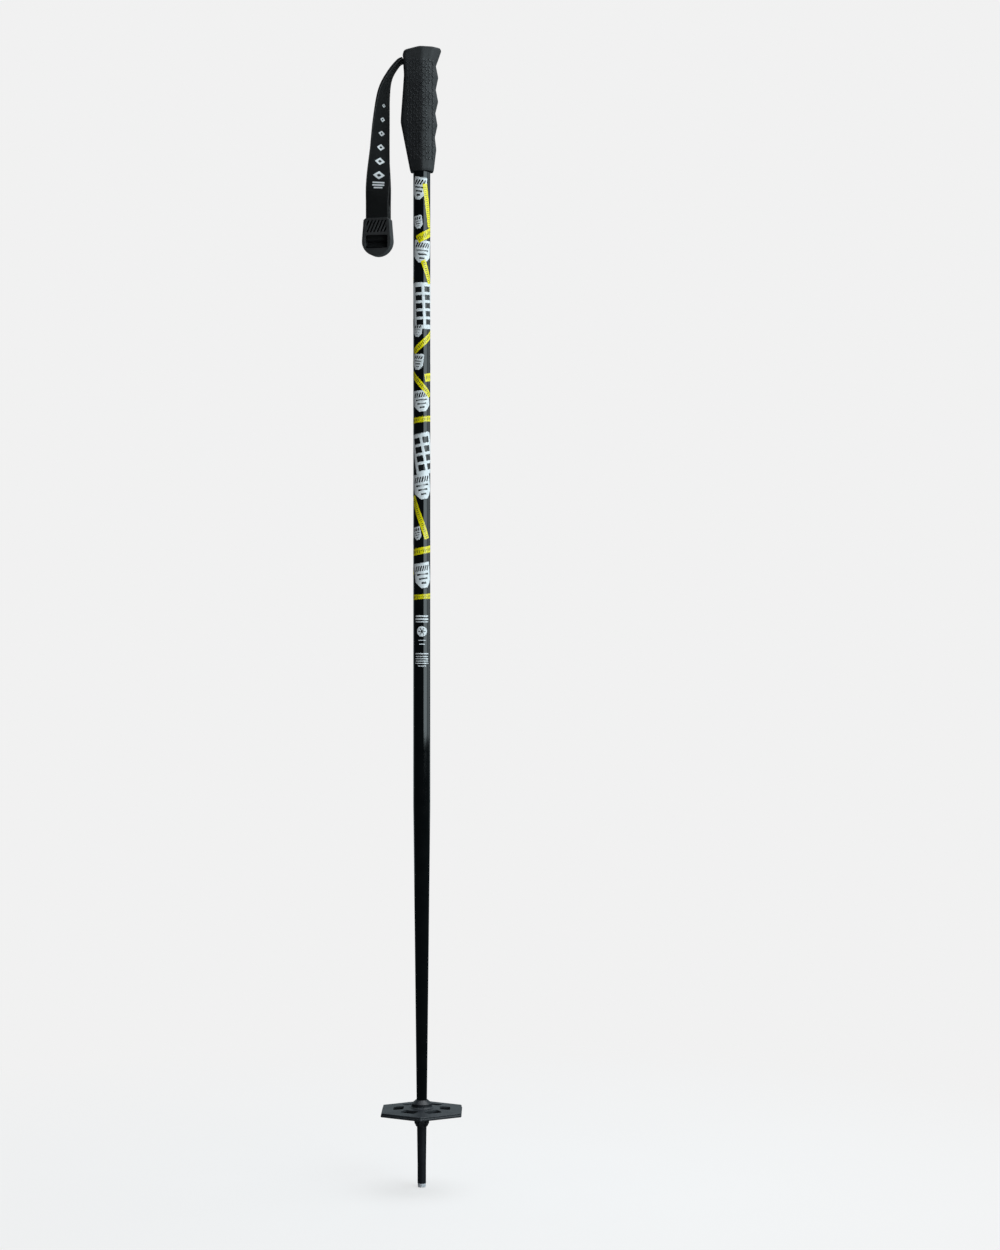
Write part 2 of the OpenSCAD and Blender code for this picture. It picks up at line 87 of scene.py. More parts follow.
class Nodes:
    """A short way to write a node tree: each call adds a node, and links or sets its inputs."""

    def __init__(self, tree):
        self.tree = tree

    def add(self, kind, settings=None, **inputs):
        node = self.tree.nodes.new(kind)
        for key, value in (settings or {}).items():
            setattr(node, key, value)
        for key, value in inputs.items():
            self.set(node, key.replace("_", " "), value)
        return node

    def set(self, node, name, value):
        socket = node.inputs[int(name)] if name.isdigit() else node.inputs[name]
        if isinstance(value, bpy.types.NodeSocket):
            self.tree.links.new(value, socket)
        else:
            socket.default_value = value

    def maths(self, operation, first, second=0.0):
        node = self.tree.nodes.new("ShaderNodeMath")
        node.operation = operation
        for socket, value in zip(node.inputs, (first, second)):
            if isinstance(value, bpy.types.NodeSocket):
                self.tree.links.new(value, socket)
            else:
                socket.default_value = value
        return node.outputs[0]

    def ramp(self, factor, *stops):
        node = self.tree.nodes.new("ShaderNodeValToRGB")
        self.tree.links.new(factor, node.inputs["Fac"])
        elements = node.color_ramp.elements
        while len(elements) < len(stops):
            elements.new(0.5)
        for element, (position, colour) in zip(elements, stops):
            element.position = position
            element.color = (*colour, 1)
        return node.outputs["Color"]

    def blend(self, factor, first, second):
        node = self.tree.nodes.new("ShaderNodeMix")
        node.data_type = "RGBA"
        self.set_any(node.inputs["Factor"], factor)
        self.set_any(node.inputs[6], first)
        self.set_any(node.inputs[7], second)
        return node.outputs[2]

    def set_any(self, socket, value):
        if isinstance(value, bpy.types.NodeSocket):
            self.tree.links.new(value, socket)
        elif isinstance(value, tuple):
            socket.default_value = (*value, 1)
        else:
            socket.default_value = value


def new_material(name):
    """A material with an empty Principled shader. Returns it, its node writer, and the shader."""
    made = bpy.data.materials.new(name)
    made.use_nodes = True
    return made, Nodes(made.node_tree), made.node_tree.nodes["Principled BSDF"]


def moulded(name, dark, light, rough, grain, depth, mottle=60.0, round_edges=0.0, **shader):
    """Moulded or cast surface: two tones in slow patches, and a fine grain in roughness and height."""
    made, n, bsdf = new_material(name)
    where = n.add("ShaderNodeTexCoord").outputs["Object"]
    slow = n.add("ShaderNodeTexNoise", Vector=where, Scale=mottle, Detail=4.0).outputs["Fac"]
    fine = n.add("ShaderNodeTexNoise", Vector=where, Scale=grain, Detail=3.0).outputs["Fac"]
    n.set(bsdf, "Base Color", n.ramp(slow, (0.35, dark), (0.65, light)))
    uneven = n.maths("MULTIPLY_ADD", fine, 0.25)
    uneven.node.inputs[2].default_value = rough - 0.125
    n.set(bsdf, "Roughness", uneven)
    bump = n.add("ShaderNodeBump", Height=fine, Strength=0.6, Distance=depth * MM)
    if round_edges:
        soft = n.add("ShaderNodeBevel", {"samples": 4}, Radius=round_edges * MM)
        n.set(bump, "Normal", soft.outputs["Normal"])
    n.set(bsdf, "Normal", bump.outputs["Normal"])
    for key, value in shader.items():
        n.set(bsdf, key.replace("_", " "), value)
    return made


def lacquer(name, dark, light, rough=0.06):
    """Glossy lacquer with a trace of orange peel and dust."""
    made, n, bsdf = new_material(name)
    where = n.add("ShaderNodeTexCoord").outputs["Object"]
    slow = n.add("ShaderNodeTexNoise", Vector=where, Scale=90.0, Detail=5.0).outputs["Fac"]
    peel = n.add("ShaderNodeTexNoise", Vector=where, Scale=260.0, Detail=1.0).outputs["Fac"]
    n.set(bsdf, "Base Color", n.ramp(slow, (0.3, dark), (0.7, light)))
    uneven = n.maths("MULTIPLY_ADD", slow, 0.06)
    uneven.node.inputs[2].default_value = rough - 0.03
    n.set(bsdf, "Roughness", uneven)
    bump = n.add("ShaderNodeBump", Height=peel, Strength=0.15, Distance=0.02 * MM)
    n.set(bsdf, "Normal", bump.outputs["Normal"])
    return made


def plated_steel(name):
    """Bright zinc-plated steel: a soft metal sheen with fine turning rings and dull scuffs."""
    made, n, bsdf = new_material(name)
    where = n.add("ShaderNodeTexCoord").outputs["Object"]
    rings = n.add("ShaderNodeTexWave", {"bands_direction": "Z"}, Vector=where, Scale=900.0, Distortion=1.5)
    scuffs = n.add("ShaderNodeTexNoise", Vector=where, Scale=700.0, Detail=4.0).outputs["Fac"]
    n.set(bsdf, "Base Color", n.ramp(scuffs, (0.3, (0.55, 0.58, 0.63)), (0.6, (0.9, 0.93, 0.97))))
    n.set(bsdf, "Metallic", 0.3)
    n.set(bsdf, "Roughness", n.ramp(scuffs, (0.2, (0.3,) * 3), (0.8, (0.5,) * 3)))
    bump = n.add("ShaderNodeBump", Height=rings.outputs["Fac"], Strength=0.4, Distance=0.02 * MM)
    n.set(bsdf, "Normal", bump.outputs["Normal"])
    return made


def webbing_cloth(name):
    """Woven polyester. The UV map runs across the webbing from 0 to 1, and along it in webbing widths."""
    made, n, bsdf = new_material(name)
    uv = n.add("ShaderNodeUVMap", {"uv_map": "along"}).outputs["UV"]
    weave = n.add("ShaderNodeTexBrick", {"offset": 0.5}, Vector=uv, Scale=18.0)
    for socket, value in (("Mortar Size", 0.03), ("Brick Width", 0.9), ("Row Height", 0.5), ("Bias", 0.0)):
        n.set(weave, socket, value)
    n.set(weave, "Color1", (0.0035, 0.0035, 0.0036, 1))
    n.set(weave, "Color2", (0.006, 0.006, 0.0062, 1))
    n.set(weave, "Mortar", (0.002, 0.002, 0.002, 1))
    fuzz = n.add("ShaderNodeTexNoise", Vector=uv, Scale=90.0, Detail=5.0).outputs["Fac"]
    split = n.add("ShaderNodeSeparateXYZ", Vector=uv)
    across = n.maths("ABSOLUTE", n.maths("SUBTRACT", split.outputs["X"], 0.5))
    edge = n.maths("GREATER_THAN", across, 0.465)
    picks = n.maths("GREATER_THAN", n.maths("SINE", n.maths("MULTIPLY", split.outputs["Y"], 112.0)), 0.1)
    dots = n.maths("MULTIPLY", edge, picks)
    body = n.blend(n.maths("MULTIPLY", fuzz, 0.5), weave.outputs["Color"], (0.008, 0.008, 0.008))
    n.set(bsdf, "Base Color", n.blend(n.maths("MULTIPLY", dots, 0.5), body, (0.12, 0.12, 0.12)))
    n.set(bsdf, "Roughness", n.ramp(fuzz, (0.3, (0.6,) * 3), (0.7, (0.82,) * 3)))
    height = n.maths("ADD", weave.outputs["Fac"], n.maths("MULTIPLY", fuzz, -0.6))
    bump = n.add("ShaderNodeBump", {"invert": True}, Height=height, Strength=0.7, Distance=0.12 * MM)
    n.set(bsdf, "Normal", bump.outputs["Normal"])
    n.set(bsdf, "Specular IOR Level", 0.2)
    n.set(bsdf, "Sheen Weight", 0.03)
    n.set(bsdf, "Sheen Roughness", 0.4)
    return made


def print_ink(name, colour, wear_and_highlight, scale):
    """Ink or printed foil: thin wear lets a second tone through."""
    made, n, bsdf = new_material(name)
    where = n.add("ShaderNodeTexCoord").outputs["Object"]
    wear = n.add("ShaderNodeTexNoise", Vector=where, Scale=scale, Detail=6.0, Roughness=0.7).outputs["Fac"]
    n.set(bsdf, "Base Color", n.ramp(wear, (0.32, wear_and_highlight), (0.46, colour)))
    n.set(bsdf, "Roughness", n.ramp(wear, (0.3, (0.12,) * 3), (0.7, (0.05,) * 3)))
    bump = n.add("ShaderNodeBump", Height=wear, Strength=0.1, Distance=0.02 * MM)
    n.set(bsdf, "Normal", bump.outputs["Normal"])
    return made


# ---------------------------------------------------------------- meshes


def add_piece(name, points, faces, material, smooth=True):
    """A mesh object from points in millimetres."""
    mesh = bpy.data.meshes.new(name)
    mesh.from_pydata([tuple(c * MM for c in p) for p in points], [], faces)
    mesh.materials.append(material)
    for face in mesh.polygons:
        face.use_smooth = smooth
    piece = bpy.data.objects.new(name, mesh)
    bpy.context.scene.collection.objects.link(piece)
    return piece


def grid_faces(rows, columns, first=0, closed=False):
    """Quads between rows of points. closed joins each row's last point to its first."""
    found = []
    for j in range(rows - 1):
        for i in range(columns if closed else columns - 1):
            k = (i + 1) % columns
            a, b = first + j * columns, first + (j + 1) * columns
            found.append((a + i, a + k, b + k, b + i))
    return found


def rounded_copy(node, name, voxel, passes):
    """A copy of a CAD node with its edges softened, for moulded pieces."""
    copy = bpy.data.objects.new(name, nodes[node].data.copy())
    bpy.context.scene.collection.objects.link(copy)
    remesh = copy.modifiers.new("remesh", "REMESH")
    remesh.mode = "VOXEL"
    remesh.voxel_size = voxel * MM
    remesh.use_smooth_shade = True
    smooth = copy.modifiers.new("smooth", "SMOOTH")
    smooth.factor = 0.5
    smooth.iterations = passes
    bpy.context.view_layer.update()
    shape = bpy.data.meshes.new_from_object(copy.evaluated_get(bpy.context.evaluated_depsgraph_get()))
    copy.modifiers.clear()
    copy.data = shape
    for face in shape.polygons:
        face.use_smooth = True
    return copy


def paint(piece, material):
    piece.data.materials.clear()
    piece.data.materials.append(material)


# ---------------------------------------------------------------- strap

WEB_WIDTH = 25.0
WEB_THICK = 1.4
PLY_GAP = 0.15
RIB_PITCH = 1.25
RIB_HEIGHT = 0.16
STEPS_PER_RIB = 4
ROUGH_STEPS = 400
SELVEDGE = 0.93  # share of the half-width where the webbing begins to round off
EDGE_GROOVE = 0.9  # share of the half-width where a shallow groove runs beside the selvedge
BUCKLE_DROP = 198.5
BUCKLE_TURN = 15.0
FRONT_END_DROP = BUCKLE_DROP - 2.6
BACK_END_DROP = BUCKLE_DROP + 6
# x, drop, twist in degrees, depth of the back run behind the front one, and its shift in x
ROUTE = np.array(
    [
        (-19.7, 12.0, 180, 0, 0),
        (-25, 15, 179, 0, 0),
        (-34, 28, 173, 0, 0),
        (-40, 46, 156, 3, 0),
        (-43, 75, 140, 9, 0),
        (-45, 110, 124, 13, 0.2),
        (-46.3, 138, 100, 10, 1),
        (-46.8, 162, 75, 6.9, 1.8),
        (-46.8, 206, 75, 6.9, 1.8),
    ],
    float,
)
MOUTH_TURN = 180
HANG_TURN = 75
FRONT_STAND = 0.35  # how much further out the front run lies where it hangs


def route_at(u):
    """Catmull-Rom curve through ROUTE; its last stretch is straight."""
    last = len(ROUTE) - 1
    i = min(int(u), last - 1)
    f = u - i
    b, c = ROUTE[i], ROUTE[i + 1]
    if i == last - 1:
        return mix(b, c, f)
    a, d = ROUTE[max(i - 1, 0)], ROUTE[min(i + 2, last)]
    return 0.5 * (
        2 * b + (c - a) * f + (2 * a - 5 * b + 4 * c - d) * f**2 + (3 * b - a - 3 * c + d) * f**3
    )


def strap_frame(u, side):
    """(point, width direction, normal) of the front run, side 1, or the back run, side -1."""
    last = len(ROUTE) - 1
    here, ahead, behind = route_at(u), route_at(min(u + 0.02, last)), route_at(max(u - 0.02, 0))
    along = Vector((ahead[0] - behind[0], 0, behind[1] - ahead[1])).normalized()
    outward = Vector((0, -1, 0))
    flat = along.cross(outward)
    twist = math.radians(here[2])
    width = math.cos(twist) * outward - math.sin(twist) * flat
    normal = math.cos(twist) * flat + math.sin(twist) * outward
    point = Vector((here[0], 0, POLE_LENGTH - here[1]))
    if side > 0:
        hung = (MOUTH_TURN - here[2]) / (MOUTH_TURN - HANG_TURN)
        point += normal * (WEB_THICK / 2 + PLY_GAP + FRONT_STAND * hung)
    else:
        point += Vector((here[4], here[3], 0)) - normal * (WEB_THICK / 2 + PLY_GAP)
    return point, width, normal


def route_end(drop):
    last = len(ROUTE) - 1
    above, below = ROUTE[last - 1][1], ROUTE[last][1]
    return last - 1 + (drop - above) / (below - above)


def run_frames(side, end_drop):
    """Frames along a run of the strap, down to this drop below the top."""
    rough = [strap_frame(u, side) for u in np.linspace(0, route_end(end_drop), ROUGH_STEPS)]
    return respaced(rough)


def respaced(rough):
    """The same frames, evenly spaced along their points, with several to each rib of the webbing."""
    points = np.array([tuple(f[0]) for f in rough])
    travelled = np.concatenate([[0], np.cumsum(np.linalg.norm(np.diff(points, axis=0), axis=1))])
    count = max(8, int(travelled[-1] / (RIB_PITCH / STEPS_PER_RIB)))
    found = []
    for s in np.linspace(0, travelled[-1], count):
        i = min(int(np.searchsorted(travelled, s, side="right")) - 1, len(rough) - 2)
        f = (s - travelled[i]) / max(travelled[i + 1] - travelled[i], 1e-9)
        a, b = rough[i], rough[i + 1]
        point, width, normal = (p.lerp(q, f) for p, q in zip(a, b))
        found.append((s, point, width.normalized(), normal.normalized()))
    return found


def edge_share(across):
    """How thick the webbing is at a place across it, from -1 to 1: full, then rounded at the selvedge."""
    outer = clamp((abs(across) - SELVEDGE) / (1 - SELVEDGE), 0, 1)
    groove = 0.14 * math.exp(-(((abs(across) - EDGE_GROOVE) / 0.018) ** 2))
    return math.sqrt(max(1 - outer**2, 0.0)) * (1 - groove)


def webbing(name, frames, material):
    """Ribbed webbing along frames: each is (distance, point, width direction, normal)."""
    columns = [-1, -0.99, -0.965, -SELVEDGE, -EDGE_GROOVE, -0.86, -0.7, -0.45, -0.2, 0]
    columns += [-c for c in reversed(columns[:-1])]
    ring = columns + columns[-2:0:-1]
    half = len(columns)
    points, coordinates = [], []
    for s, point, width, normal in frames:
        rib = 0.5 + 0.5 * math.cos(2 * math.pi * s / RIB_PITCH)
        for i, across in enumerate(ring):
            face = 1 if i < half else -1
            thick = (WEB_THICK / 2 - RIB_HEIGHT * rib) * edge_share(across)
            reach = WEB_WIDTH / 2 * across * (1 - 0.006 * rib * (abs(across) > 0.95))
            points.append(point + width * reach + normal * face * thick)
            coordinates.append((0.5 + across / 2, s / WEB_WIDTH))
    faces = grid_faces(len(frames), len(ring), closed=True)
    last = (len(frames) - 1) * len(ring)
    faces += [tuple(range(len(ring)))[::-1], tuple(range(last, last + len(ring)))]
    piece = add_piece(name, points, faces, material)
    uv = piece.data.uv_layers.new(name="along")
    for loop in piece.data.loops:
        uv.data[loop.index].uv = coordinates[loop.vertex_index]
    return piece


def flat_frames(path, place):
    """Frames along a path of (y, z) points, with the width along x, moved by the matrix place."""
    rough = []
    for i, point in enumerate(path):
        before, after = path[max(i - 1, 0)], path[min(i + 1, len(path) - 1)]
        step = Vector((0, after[0] - before[0], after[1] - before[1])).normalized()
        turn = place.to_3x3()
        rough.append(
            (
                place @ Vector((0, *point)),
                turn @ Vector((1, 0, 0)),
                turn @ Vector((0, step.z, -step.y)),
            )
        )
    return respaced(rough)


def arc(cy, cz, radius, start, end, step=6):
    count = max(2, math.ceil(abs(end - start) / step))
    turns = [math.radians(mix(start, end, i / count)) for i in range(count + 1)]
    return [(cy + radius * math.cos(a), cz + radius * math.sin(a)) for a in turns]


# ---------------------------------------------------------------- flat shapes


def turned(outline, degrees, centre):
    c, s = math.cos(math.radians(degrees)), math.sin(math.radians(degrees))
    return [(centre[0] + u * c - v * s, centre[1] + u * s + v * c) for u, v in outline]


def rectangle(width, height):
    w, h = width / 2, height / 2
    return [(-w, -h), (w, -h), (w, h), (-w, h)]


def plate(width, height, corner):
    """A rectangle with rounded corners."""
    w, h = width / 2 - corner, height / 2 - corner
    found = []
    for cx, cy, first in ((1, -1, -90), (1, 1, 0), (-1, 1, 90), (-1, -1, 180)):
        for i in range(5):
            a = math.radians(first + 90 * i / 4)
            found.append((cx * w + corner * math.cos(a), cy * h + corner * math.sin(a)))
    return found


def disc(width, height, sides=20):
    turns = [2 * math.pi * i / sides for i in range(sides)]
    return [(width / 2 * math.cos(a), height / 2 * math.sin(a)) for a in turns]


def lozenge(width, height):
    return [(-width / 2, 0), (0, -height / 2), (width / 2, 0), (0, height / 2)]


def shield(width, height):
    """A plate with a blunt lower end."""
    w, h = width / 2, height / 2
    right = [(w * 0.35, -h), (w, -h * 0.45), (w, h * 0.9), (w * 0.9, h)]
    return right + [(-u, v) for u, v in reversed(right)]


def filled(outline, spacing=0.5):
    """Points and faces that fill a convex outline in rows, so that it can be wrapped on a curved surface."""
    outline = np.array(outline)
    low, high = outline[:, 1].min() + 1e-4, outline[:, 1].max() - 1e-4
    rows = max(2, int((high - low) / spacing) + 1)
    columns = max(3, int(np.ptp(outline[:, 0]) / spacing) + 1)
    points = []
    for v in np.linspace(low, high, rows):
        crossings = []
        for p, q in zip(outline, np.roll(outline, -1, axis=0)):
            if (p[1] <= v) != (q[1] <= v):
                crossings.append(p[0] + (q[0] - p[0]) * (v - p[1]) / (q[1] - p[1]))
        left, right = (min(crossings), max(crossings)) if crossings else (0.0, 0.0)
        points += [(u, v) for u in np.linspace(left, right, columns)]
    return points, grid_faces(rows, columns)


class Print:
    """Flat shapes gathered into one mesh, wrapped on a surface by place(u, v, lift)."""

    def __init__(self, place):
        self.place, self.points, self.faces = place, [], []

    def add(self, outline, lift):
        points, faces = filled(outline)
        first = len(self.points)
        self.points += [self.place(u, v, lift) for u, v in points]
        self.faces += [tuple(first + i for i in f) for f in faces]

    def piece(self, name, material):
        return add_piece(name, self.points, self.faces, material)


# ---------------------------------------------------------------- print on the tube

TAPER_TOP = 402.0
TUBE_BOTTOM = 88.3
TUBE_R = 9.0
TUBE_END_R = 5.45


def tube_radius(z):
    share = clamp((z - TUBE_BOTTOM) / (TAPER_TOP - TUBE_BOTTOM), 0, 1)
    return mix(TUBE_END_R, TUBE_R, share)


def on_tube(u, v, lift):
    """u is the distance round the tube from its -Y side towards +X, and v the height above the tip."""
    a = u / TUBE_R
    r = tube_radius(v) + lift
    return (r * math.sin(a), -r * math.cos(a), v)


# kind, height above the tip, place round the tube, width, height, tilt in degrees
PLATES = [
    ("shield", 1052, -2.5, 15, 24, -9),
    ("shield", 1016.5, -4.0, 10, 14, 8),
    ("shield", 985.5, 1.0, 20, 24, -4),
    ("plate", 928.5, 2.5, 25, 50, 3),
    ("shield", 902.5, -4.5, 10, 14, -4),
    ("shield", 869.5, -4.0, 12, 17, -6),
    ("shield", 828.5, 0.0, 19, 23, 6),
    ("plate", 773, 2.5, 24, 44, 11),
    ("shield", 738.5, 1.0, 21, 27, 10),
    ("shield", 689, -5.0, 9, 14, 10),
    ("shield", 645, 1.5, 19, 27, 8),
]
# height above the tip, place round the tube, length, width, tilt from upright in degrees
TAPES = [
    (1034, 6.7, 46, 5.2, 8),
    (1003.5, 6.0, 24, 8.5, -62),
    (964, 6.0, 26, 5.4, 20),
    (891, 3.5, 34, 6.0, -48),
    (853.5, 9.5, 12, 8.5, -80),
    (846, -1.0, 34, 5.6, 42),
    (809, 1.0, 30, 6.6, -84),
    (706, -2.0, 48, 5.6, 20),
    (671, 1.0, 28, 7.2, -80),
    (622.5, 1.0, 28, 6.2, -86),
]
PRINT_LIFT = 0.03  # how far each layer of print stands above the one below it
DASH_PITCH = 2.1
PRINT_LOW, PRINT_HIGH = 640, 1056  # heights between which the print on the back lies
BACK_SHIFT = 57


def plate_outline(kind, width, height):
    if kind == "shield":
        return shield(width, height)
    return disc(width, height) if kind == "disc" else plate(width, height, min(width, height) * 0.14)


def plate_marks(kind, width, height):
    """Plain dark shapes inside a plate, as (outline, (u, v), degrees): blocks, bars or slanted strokes."""
    if kind == "disc":
        return [(disc(width * 0.72, height * 0.72), (0, 0), 0)]
    found = []
    if kind == "shield":
        strokes = max(3, round(width / 3.4))
        for i in range(strokes):
            u = width * 0.8 * ((i + 0.5) / strokes - 0.5)
            found.append((plate(width * 0.44 / strokes, height * 0.24, 0.3), (u, height * 0.27), -24))
        for v, w in ((0.04, 0.66), (-0.13, 0.5), (-0.3, 0.28)):
            found.append((plate(width * w, height * 0.085, 0.3), (0, height * v), 0))
        return found
    rows = max(2, round(height / 10))
    block = height * 0.62 / rows
    for i in range(rows):
        v = height * 0.86 * ((i + 0.5) / rows - 0.5)
        for u in (-0.21, 0.21):
            found.append((plate(width * 0.3, block, 0.4), (u * width, v), 0))
    return found


# Small print at the foot of the pattern: height above the tip, width, thickness of each bar
BARS = [
    (602, 14, 1.6),
    (598.8, 15, 1.6),
    (596, 14, 1.0),
    (576.6, 8, 0.8),
    (572.6, 6, 0.8),
    (562.5, 15, 1.2),
    (559.6, 14, 0.9),
    (557.2, 15, 0.9),
    (554.8, 14, 0.9),
    (552.4, 15, 0.9),
    (549.6, 9, 0.9),
]
WHEEL_CENTRE = (0.5, 586)
WHEEL_SIZE = 11
SPOKE_LENGTH = 8.5


def tube_print():
    white, dark, yellow, olive = (Print(on_tube) for _ in range(4))
    # the same print lies on the front and, shifted along the tube, on the back
    for turn in range(2):
        around = turn * math.pi * TUBE_R
        for kind, height, u, w, h, tilt in PLATES:
            centre = (u + around, shifted(height, turn))
            white.add(turned(plate_outline(kind, w, h), tilt, centre), PRINT_LIFT)
            for outline, (mu, mv), lean in plate_marks(kind, w, h):
                inside = [(mu + p, mv + q) for p, q in turned(outline, lean, (0, 0))]
                dark.add(turned(inside, tilt, centre), PRINT_LIFT * 2)
        for height, u, length, w, tilt in TAPES:
            centre = (u + around, shifted(height, turn))
            yellow.add(turned(rectangle(w, length), tilt, centre), PRINT_LIFT * 3)
            for i in range(1, int(length / DASH_PITCH)):
                v = -length / 2 + DASH_PITCH * i
                dash = [(p, v + q) for p, q in rectangle(w * (0.5 if i % 3 else 0.25), DASH_PITCH * 0.42)]
                olive.add(turned(dash, tilt, centre), PRINT_LIFT * 4)
    for height, w, thick in BARS:
        white.add(turned(rectangle(w, thick), 0, (WHEEL_CENTRE[0], height)), PRINT_LIFT)
    white.add(turned(disc(WHEEL_SIZE, WHEEL_SIZE), 0, WHEEL_CENTRE), PRINT_LIFT)
    for i in range(3):
        dark.add(turned(rectangle(SPOKE_LENGTH, 0.8), 60 * i, WHEEL_CENTRE), PRINT_LIFT * 2)
    for name, made, slot_material in (
        ("tube_plates", white, ink_white),
        ("tube_marks", dark, ink_dark),
        ("tube_tapes", yellow, ink_yellow),
        ("tube_tape_marks", olive, ink_olive),
    ):
        piece = made.piece(name, slot_material)
        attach(piece, "pole")


def shifted(height, turn):
    """Where a patch lies: those on the back are moved up the tube, and brought back at the top."""
    if not turn:
        return height
    return PRINT_LOW + (height - PRINT_LOW + BACK_SHIFT) % (PRINT_HIGH - PRINT_LOW)


# ---------------------------------------------------------------- studio


PALE = 0.88


PANEL_BLUE = (0.8, 0.95, 1.0)
NEUTRAL = (1.0, 1.0, 1.0)


def add_softbox(name, azimuth, distance, low, high, span, radiance, colour=PANEL_BLUE, in_gloss=True):
    """A tall panel round the pole. azimuth is from -Y towards +X; span is its angle seen from the pole."""
    a = math.radians(azimuth)
    width = 2 * distance * math.tan(math.radians(span / 2))
    light = bpy.data.lights.new(name, "AREA")
    light.shape = "RECTANGLE"
    light.size, light.size_y = width, high - low
    light.energy = radiance * math.pi * width * (high - low)
    light.color = colour
    panel = bpy.data.objects.new(name, light)
    panel.location = (distance * math.sin(a), -distance * math.cos(a), (low + high) / 2)
    panel.rotation_euler = (math.radians(90), 0, a)
    panel.visible_camera = False
    panel.visible_glossy = in_gloss
    bpy.context.scene.collection.objects.link(panel)


def add_top_light():
    light = bpy.data.lights.new("overhead_softbox", "AREA")
    light.size = 2.4
    light.energy = 60
    light.color = (0.92, 0.96, 1.0)
    panel = bpy.data.objects.new("overhead_softbox", light)
    panel.location = (0.5, 0.6, 3.0)
    panel.rotation_euler = (Vector((0, 0, 0)) - panel.location).to_track_quat("-Z", "Y").to_euler()
    panel.visible_camera = False
    bpy.context.scene.collection.objects.link(panel)


def add_world():
    """Pale to the camera, dark in reflections, and a weak fill for everything else."""
    world = bpy.data.worlds.new("studio")
    bpy.context.scene.world = world
    world.use_nodes = True
    n = Nodes(world.node_tree)
    shader = world.node_tree.nodes["Background"]
    n.set(shader, "Color", (0.18, 0.185, 0.19, 1))
    rays = n.add("ShaderNodeLightPath").outputs
    fill = shader.outputs["Background"]
    for ray, colour in (("Is Glossy Ray", (0.03, 0.04, 0.045)), ("Is Camera Ray", (PALE,) * 3)):
        seen = n.add("ShaderNodeBackground", Color=(*colour, 1)).outputs["Background"]
        mixed = n.add("ShaderNodeMixShader")
        for socket, value in zip(mixed.inputs, (rays[ray], fill, seen)):
            n.tree.links.new(value, socket)
        fill = mixed.outputs["Shader"]
    n.tree.links.new(fill, world.node_tree.nodes["World Output"].inputs["Surface"])


def add_floor():
    """A pale floor plane: a little of the shadow shows near the pole, and the far floor melts into the
    backdrop.
    """
    bpy.ops.mesh.primitive_plane_add(size=40)
    floor = bpy.context.object
    floor.name = "floor"
    floor.visible_glossy = False
    floor.visible_diffuse = False
    made = bpy.data.materials.new("floor_paper")
    made.use_nodes = True
    n = Nodes(made.node_tree)
    made.node_tree.nodes.remove(made.node_tree.nodes["Principled BSDF"])
    where = n.add("ShaderNodeTexCoord").outputs["Object"]
    fibre = n.add("ShaderNodeTexNoise", Vector=where, Scale=5.0, Detail=3.0).outputs["Fac"]
    paper = n.add("ShaderNodeBsdfDiffuse", Color=n.ramp(fibre, (0.3, (0.84,) * 3), (0.7, (0.86,) * 3)))
    glow = n.add("ShaderNodeEmission", Color=(PALE, PALE, PALE, 1))
    away = n.add("ShaderNodeVectorMath", {"operation": "LENGTH"}, **{"0": where}).outputs["Value"]
    near = n.add("ShaderNodeMapRange", Value=away)
    for socket, value in (("From Min", 0.1), ("From Max", 0.9), ("To Min", 0.3), ("To Max", 0.0)):
        n.set(near, socket, value)
    mixed = n.add("ShaderNodeMixShader", Fac=near.outputs["Result"])
    n.tree.links.new(glow.outputs["Emission"], mixed.inputs[1])
    n.tree.links.new(paper.outputs["BSDF"], mixed.inputs[2])
    n.tree.links.new(mixed.outputs["Shader"], made.node_tree.nodes["Material Output"].inputs["Surface"])
    floor.data.materials.append(made)


def add_studio():
    bpy.context.scene.view_settings.view_transform = "Standard"
    add_world()
    add_floor()
    add_top_light()
    # name, azimuth, distance, lowest and highest point, span, radiance
    add_softbox("key_softbox", 51, 2.0, 0.38, 2.3, 47, 3.6)
    add_softbox("side_softbox", 98, 2.0, 0.38, 2.3, 44, 1.3)
    add_softbox("rim_card", 137, 2.0, 0.2, 2.3, 24, 0.4)
    add_softbox("left_rim_card", -140, 2.0, 0.1, 2.3, 24, 0.45)
    add_softbox("back_card", 180, 2.2, 0.1, 1.7, 50, 0.3)
    add_softbox("front_fill", 20, 3.2, 0.0, 2.4, 50, 0.75, NEUTRAL, in_gloss=False)
    add_softbox("back_fill", 195, 3.2, 0.0, 2.4, 60, 0.7, NEUTRAL, in_gloss=False)


# ---------------------------------------------------------------- pieces

ink_white = print_ink("printed_white", (0.72, 0.76, 0.78), (0.42, 0.46, 0.48), 420.0)
ink_yellow = print_ink("printed_yellow", (0.8, 0.72, 0.002), (0.48, 0.42, 0.002), 420.0)
ink_olive = print_ink("printed_olive", (0.09, 0.085, 0.02), (0.16, 0.15, 0.03), 420.0)
ink_dark = print_ink("printed_black", (0.006, 0.007, 0.008), (0.02, 0.021, 0.022), 420.0)
cloth = webbing_cloth("strap_webbing")
cloth_ink = moulded("strap_black", (0.004, 0.004, 0.004), (0.009, 0.009, 0.009), 0.75, 2600.0, 0.02)


def grip():
    dark, light = (0.0105, 0.0105, 0.0115), (0.0155, 0.0155, 0.0165)
    skin = moulded("grip_elastomer", dark, light, 0.62, 2600.0, 0.05, mottle=140.0)
    body = rounded_copy("grip_sleeve", "grip_skin", 0.55, 6)
    paint(body, skin)
    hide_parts("grip_sleeve")
    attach(body, "pole")
    knurl(body)


